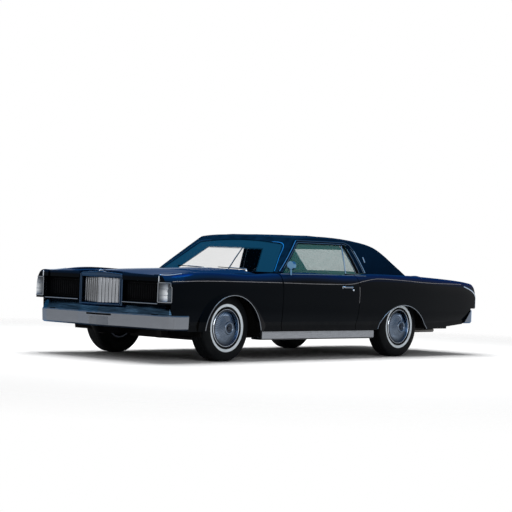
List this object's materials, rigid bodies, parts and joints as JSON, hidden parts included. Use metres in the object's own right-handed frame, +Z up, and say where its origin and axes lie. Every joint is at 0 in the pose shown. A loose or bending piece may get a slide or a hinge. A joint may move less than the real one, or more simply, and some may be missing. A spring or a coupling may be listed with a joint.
{
  "type": "personal luxury coupe",
  "caption": "Full-size two-door hardtop luxury coupe with upright grille, hidden headlights, vinyl top, opening doors, hood and trunk, steering and rolling wheels.",
  "frame": {"origin": "on the ground under the middle of the car's length and width", "axes": "+Z up, -Y towards the nose, +X towards the car's left side"},
  "size_m": [2.0216, 5.489, 1.3687],
  "materials": {
    "body_paint": "deep gloss black paint",
    "vinyl_top": "grained dark vinyl",
    "chrome": "bright chrome plate",
    "clear_glass": "lightly tinted safety glass",
    "lamp_lens": "ribbed clear lens",
    "red_lens": "red lens",
    "rocker_metal": "bright ribbed moulding",
    "frame_steel": "black chassis paint",
    "underbody": "sound-deadened sheet steel",
    "engine_iron": "painted cast iron",
    "seat_leather": "pale pleated leather",
    "dash_plastic": "dark padded trim",
    "tyre_rubber": "black rubber with a thin white ring",
    "wheel_chrome": "chromed wheel cover"
  },
  "bodies": {
    "body": {"chassis_frame": "frame_steel", "frame_crossmembers": "frame_steel", "floor_pan": "underbody", "trunk_floor": "underbody", "cowl": "body_paint", "roof": "vinyl_top", "windshield_frame": "chrome", "windshield": "clear_glass", "rear_window": "clear_glass", "quarter_windows": "clear_glass", "left_front_fender": "body_paint", "right_front_fender": "body_paint", "left_quarter_panel": "body_paint", "right_quarter_panel": "body_paint", "rear_deck": "body_paint", "rear_panel": "body_paint", "grille": "chrome", "header_panel": "body_paint", "front_bumper": "chrome", "rear_bumper": "chrome", "parking_lamps": "lamp_lens", "tail_lamps": "red_lens", "headlamps": "lamp_lens", "rocker_panels": "rocker_metal", "front_wheelhouses": "underbody", "rear_wheelhouses": "underbody", "dashboard": "dash_plastic", "front_seat": "seat_leather", "rear_seat": "seat_leather", "front_suspension": "frame_steel", "rear_axle": "frame_steel", "engine": "engine_iron", "driveshaft": "frame_steel", "exhaust": "frame_steel", "fuel_tank": "frame_steel", "radiator": "engine_iron"},
    "left_door": {"left_door": "body_paint", "left_door_window": "clear_glass", "door_mirror": "chrome"},
    "right_door": {"right_door": "body_paint", "right_door_window": "clear_glass"},
    "hood": {"hood": "body_paint"},
    "trunk_lid": {"trunk_lid": "body_paint"},
    "left_headlight_cover": {"left_headlight_cover": "body_paint"},
    "right_headlight_cover": {"right_headlight_cover": "body_paint"},
    "steering_wheel": {"steering_wheel": "dash_plastic"},
    "left_knuckle": {"left_knuckle": "frame_steel"},
    "right_knuckle": {"right_knuckle": "frame_steel"},
    "left_front_wheel": {"left_front_tyre": "tyre_rubber", "left_front_wheel": "wheel_chrome"},
    "right_front_wheel": {"right_front_tyre": "tyre_rubber", "right_front_wheel": "wheel_chrome"},
    "left_rear_wheel": {"left_rear_tyre": "tyre_rubber", "left_rear_wheel": "wheel_chrome"},
    "right_rear_wheel": {"right_rear_tyre": "tyre_rubber", "right_rear_wheel": "wheel_chrome"}
  },
  "joints": [
    {"name": "left_door_hinge", "type": "hinge", "parent": "body", "child": "left_door", "pos_m": [0.996, -0.9405, 0.67], "axis": [0, 0, -1], "range_deg": [0, 65]},
    {"name": "right_door_hinge", "type": "hinge", "parent": "body", "child": "right_door", "pos_m": [-0.996, -0.9405, 0.67], "axis": [0, 0, 1], "range_deg": [0, 65]},
    {"name": "hood_hinge", "type": "hinge", "parent": "body", "child": "hood", "pos_m": [0, -1.0305, 0.944], "axis": [-1, 0, 0], "range_deg": [0, 48]},
    {"name": "trunk_hinge", "type": "hinge", "parent": "body", "child": "trunk_lid", "pos_m": [0, 1.6425, 0.932], "axis": [1, 0, 0], "range_deg": [0, 75]},
    {"name": "left_cover_pivot", "type": "hinge", "parent": "body", "child": "left_headlight_cover", "pos_m": [0.588, -2.5455, 0.705], "axis": [-1, 0, 0], "range_deg": [0, 90]},
    {"name": "right_cover_pivot", "type": "hinge", "parent": "body", "child": "right_headlight_cover", "pos_m": [-0.588, -2.5455, 0.705], "axis": [-1, 0, 0], "range_deg": [0, 90]},
    {"name": "left_steer", "type": "hinge", "parent": "body", "child": "left_knuckle", "pos_m": [0.7, -1.7245, 0.352], "axis": [0, 0, 1], "range_deg": [-32, 32]},
    {"name": "right_steer", "type": "hinge", "parent": "body", "child": "right_knuckle", "pos_m": [-0.7, -1.7245, 0.352], "axis": [0, 0, 1], "range_deg": [-32, 32]},
    {"name": "steering_column", "type": "hinge", "parent": "body", "child": "steering_wheel", "pos_m": [0.37, -0.5545, 0.8], "axis": [0, 0.9063, 0.4226], "range_deg": [-560, 560]},
    {"name": "left_front_spin", "type": "hinge", "parent": "left_knuckle", "child": "left_front_wheel", "pos_m": [0.791, -1.7245, 0.352], "axis": [1, 0, 0], "continuous": true},
    {"name": "left_rear_spin", "type": "hinge", "parent": "body", "child": "left_rear_wheel", "pos_m": [0.791, 1.2525, 0.352], "axis": [1, 0, 0], "continuous": true},
    {"name": "right_front_spin", "type": "hinge", "parent": "right_knuckle", "child": "right_front_wheel", "pos_m": [-0.791, -1.7245, 0.352], "axis": [1, 0, 0], "continuous": true},
    {"name": "right_rear_spin", "type": "hinge", "parent": "body", "child": "right_rear_wheel", "pos_m": [-0.791, 1.2525, 0.352], "axis": [1, 0, 0], "continuous": true}
  ],
  "couplings": [
    {"joint": "right_steer", "follows": "left_steer", "ratio": 1},
    {"joint": "steering_column", "follows": "left_steer", "ratio": 17},
    {"joint": "right_cover_pivot", "follows": "left_cover_pivot", "ratio": 1}
  ]
}
